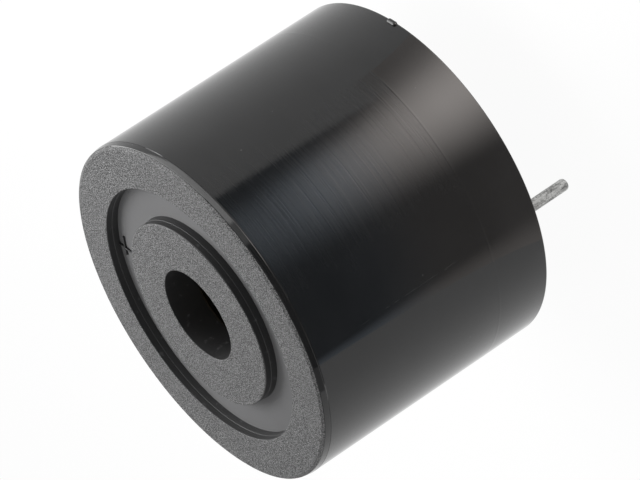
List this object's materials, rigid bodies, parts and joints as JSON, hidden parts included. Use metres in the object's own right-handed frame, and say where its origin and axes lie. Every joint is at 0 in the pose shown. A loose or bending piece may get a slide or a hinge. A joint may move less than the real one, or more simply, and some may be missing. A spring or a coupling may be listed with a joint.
{
  "type": "piezo buzzer",
  "caption": "Round piezo buzzer in a black moulded cup with a central sound hole and a ring groove, driven by a circuit inside and soldered to a board by round pins.",
  "frame": {"origin": "centre of the seating rim, on the face of the circuit board that the buzzer is soldered to, midway between its pins", "axes": "+Z out of the sound hole, +X from the centre towards the positive pin"},
  "size_m": [0.03, 0.0302, 0.0291],
  "materials": {
    "black_housing": "grained front face, satin side wall",
    "tinned_pin": "hot-tinned, slightly uneven",
    "diaphragm_brass": "rolled, dull",
    "silvered_ceramic": "fired silver on a pale ceramic",
    "silicone": "translucent white, smooth",
    "red_insulation": "extruded, smooth",
    "white_insulation": "extruded, smooth",
    "black_insulation": "extruded, smooth",
    "solder": "bright, set from the melt",
    "board_laminate": "glass-filled laminate",
    "transistor_moulding": "fine matte moulding",
    "resistor_glaze": "glazed ceramic with plated ends",
    "potting_resin": "cast resin with a hollow edge"
  },
  "bodies": {
    "root": {"housing": "black_housing", "diaphragm": "diaphragm_brass", "piezo_ceramic": "silvered_ceramic", "bonding_bead": "silicone", "drive_lead": "red_insulation", "feedback_lead": "white_insulation", "ground_lead": "black_insulation", "drive_solder": "solder", "feedback_solder": "solder", "ground_solder": "solder", "circuit_board": "board_laminate", "driver_transistor": "transistor_moulding", "base_resistor": "resistor_glaze", "collector_resistor": "resistor_glaze", "feedback_resistor": "resistor_glaze", "positive_pin": "tinned_pin", "negative_pin": "tinned_pin", "pin_solder": "solder", "board_solder": "solder", "chip_solder": "solder", "potting_compound": "potting_resin"}
  },
  "joints": []
}
